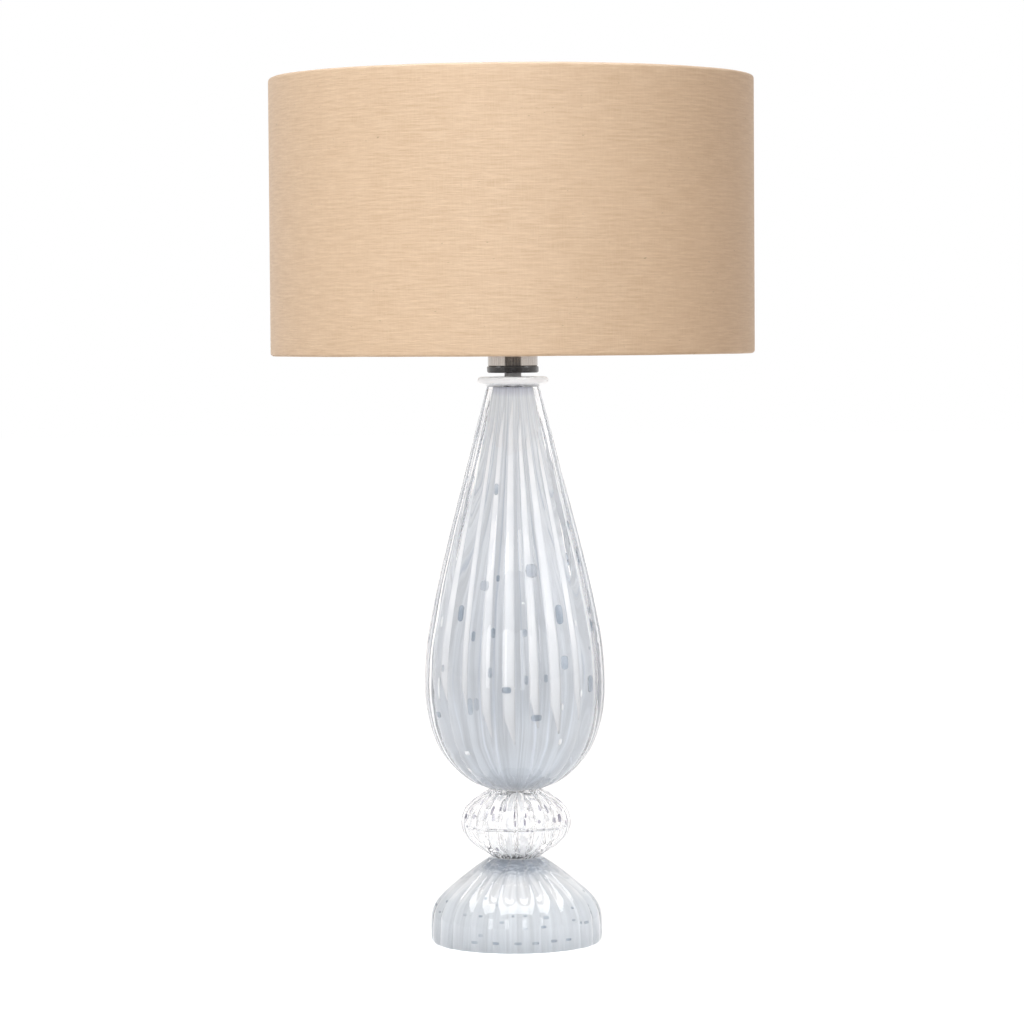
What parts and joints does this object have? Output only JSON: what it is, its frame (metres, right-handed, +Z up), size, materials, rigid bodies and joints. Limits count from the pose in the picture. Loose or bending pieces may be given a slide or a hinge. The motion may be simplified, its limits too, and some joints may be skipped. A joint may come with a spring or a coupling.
{
  "type": "table lamp",
  "caption": "Table lamp with a ribbed glass foot, ball and teardrop body on a central tube, a screw lampholder and a straight round fabric drum shade.",
  "frame": {"origin": "on the table, under the middle of the foot", "axes": "+Z up along the lamp's axis, +Y towards the back, where the cord's inlet is, +X to the right"},
  "size_m": [0.4, 0.4, 0.7171],
  "materials": {
    "clear_glass": "clear hand-blown glass, glossy, with small bubbles",
    "opal_glass": "milky white glass layer, softly translucent",
    "bulb_glass": "frosted white bulb glass",
    "clear_silicone": "clear silicone, satin",
    "black_rubber": "black rubber, matt",
    "zinc_steel": "zinc-plated steel",
    "nickel": "polished nickel plate",
    "dark_ring": "black moulded plastic, glossy",
    "white_ceramic": "white glazed ceramic",
    "brass": "bright brass",
    "white_plastic": "white moulded plastic",
    "black_plastic": "black moulded plastic",
    "white_enamel": "white powder coat",
    "shade_fabric": "pale beige slubbed silk, satin sheen",
    "shade_liner": "white satin plastic sheet",
    "lead_brown": "brown lead insulation",
    "lead_blue": "blue lead insulation"
  },
  "bodies": {
    "stand": {"foot_glass": "clear_glass", "foot_opal": "opal_glass", "ball_glass": "clear_glass", "body_glass": "clear_glass", "body_opal": "opal_glass", "lower_gasket": "clear_silicone", "upper_gasket": "clear_silicone", "threaded_tube": "nickel", "rubber_washer": "black_rubber", "steel_washer": "zinc_steel", "lock_washer": "zinc_steel", "foot_nut": "zinc_steel", "neck_collar": "clear_silicone", "base_ring": "dark_ring", "holder_cap": "nickel", "holder_nut": "zinc_steel", "holder_sleeve": "nickel", "holder_insert": "white_ceramic", "holder_screws": "brass", "screw_shell": "brass", "centre_contact": "brass", "bottom_cover": "black_plastic", "cover_seal": "black_rubber", "cord_grommet": "clear_silicone", "terminal_block": "white_plastic", "block_screws": "brass", "cover_screw": "zinc_steel", "lead_live": "lead_brown", "lead_neutral": "lead_blue"},
    "shade": {"top_wire": "white_enamel", "bottom_wire": "white_enamel", "shade_fabric": "shade_fabric", "shade_liner": "shade_liner", "carrier_ring": "white_enamel", "shade_spokes": "white_enamel"},
    "shade_ring": {"shade_ring": "white_plastic"},
    "bulb": {"bulb_contact": "brass", "bulb_insulator": "black_plastic", "bulb_cap": "nickel", "bulb_glass": "bulb_glass"}
  },
  "joints": [
    {"name": "shade_turn", "type": "hinge", "parent": "stand", "child": "shade", "pos_m": [0, 0, 0.513], "axis": [0, 0, 1], "continuous": true},
    {"name": "shade_ring_turn", "type": "hinge", "parent": "stand", "child": "shade_ring", "pos_m": [0, 0, 0.5145], "axis": [0, 0, 1], "range_deg": [0, 864]},
    {"name": "bulb_turn", "type": "hinge", "parent": "stand", "child": "bulb", "pos_m": [0, 0, 0.5106], "axis": [0, 0, 1], "range_deg": [0, 1080]}
  ]
}
